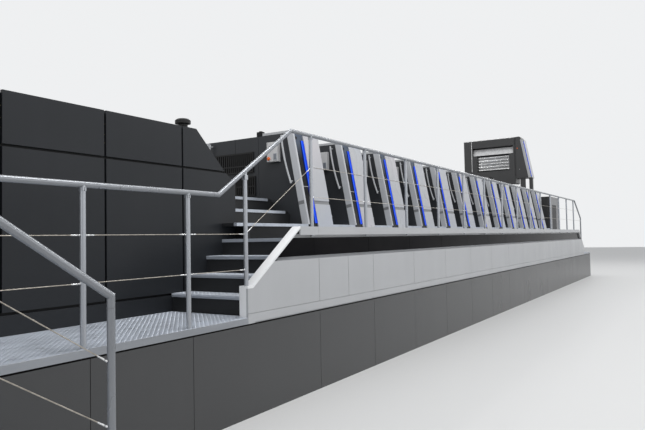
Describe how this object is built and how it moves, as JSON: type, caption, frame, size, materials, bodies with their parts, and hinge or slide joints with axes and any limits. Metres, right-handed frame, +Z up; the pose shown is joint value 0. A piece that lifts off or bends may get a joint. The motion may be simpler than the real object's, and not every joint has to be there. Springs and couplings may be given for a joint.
{
  "type": "sheet-fed offset printing press with raised plinth and galleries",
  "caption": "Long sheet-fed offset printing press on a dark plinth, with sloped-cover printing units, operator galleries, stairs and cable railings.",
  "frame": {"origin": "on the floor, midway along and across the whole plant", "axes": "+X along the press from the delivery to the feeder, +Y from the operator side to the drive side, +Z up"},
  "size_m": [24.411, 5.6, 4.83],
  "materials": {
    "dark_panel": "satin",
    "plinth_panel": "satin",
    "black_frame": "matt",
    "light_panel": "satin",
    "parapet_white": "satin",
    "deck_plate": "tread plate",
    "nosing_metal": "brushed",
    "rail_paint": "satin",
    "cable_steel": "stranded",
    "black_glass": "polished",
    "light_strip": "lit",
    "grab_grey": "satin",
    "box_white": "satin",
    "roller_steel": "ground",
    "step_dark": "satin",
    "grille_black": "matt",
    "feeder_grey": "satin"
  },
  "bodies": {
    "root": {"machine_bed": "black_frame", "support_frames": "black_frame", "plinth_panels": "plinth_panel", "walkway_decks": "deck_plate", "fascia_panels": "light_panel", "fascia_base_rails": "light_panel", "fascia_ledges": "light_panel", "window_strips": "black_glass", "toe_boards": "light_panel", "gallery_decks": "deck_plate", "gallery_stairs": "step_dark", "step_nosings": "nosing_metal", "stair_parapets": "parapet_white", "handrails": "rail_paint", "rail_posts": "rail_paint", "rail_cables": "cable_steel", "access_stairs": "deck_plate", "delivery_body": "black_frame", "delivery_panels": "dark_panel", "delivery_vent_cap": "grille_black", "cross_steps": "step_dark", "narrow_covers": "light_panel", "slot_panels": "black_glass", "light_strips": "light_strip", "wide_covers": "light_panel", "grab_bars": "grab_grey", "control_boxes": "box_white", "louvre_grilles": "grille_black", "roof_bars": "light_panel", "roof_fittings": "grille_black", "footboards": "deck_plate", "tower_body": "dark_panel", "tower_side_covers": "light_panel", "tower_guide_plate": "roller_steel", "tower_rollers": "roller_steel", "tower_posts": "dark_panel", "feeder_housing": "dark_panel", "feeder_side_panels": "feeder_grey", "feeder_hatches": "black_glass", "feeder_pile_frame": "dark_panel", "feeder_head": "light_panel", "unit_01": "dark_panel", "unit_02": "dark_panel", "unit_03": "dark_panel", "unit_04": "dark_panel", "unit_05": "dark_panel", "unit_06": "dark_panel", "unit_07": "dark_panel", "unit_08": "dark_panel", "unit_09": "dark_panel", "unit_10": "dark_panel", "unit_11": "dark_panel", "unit_12": "dark_panel"}
  },
  "joints": []
}
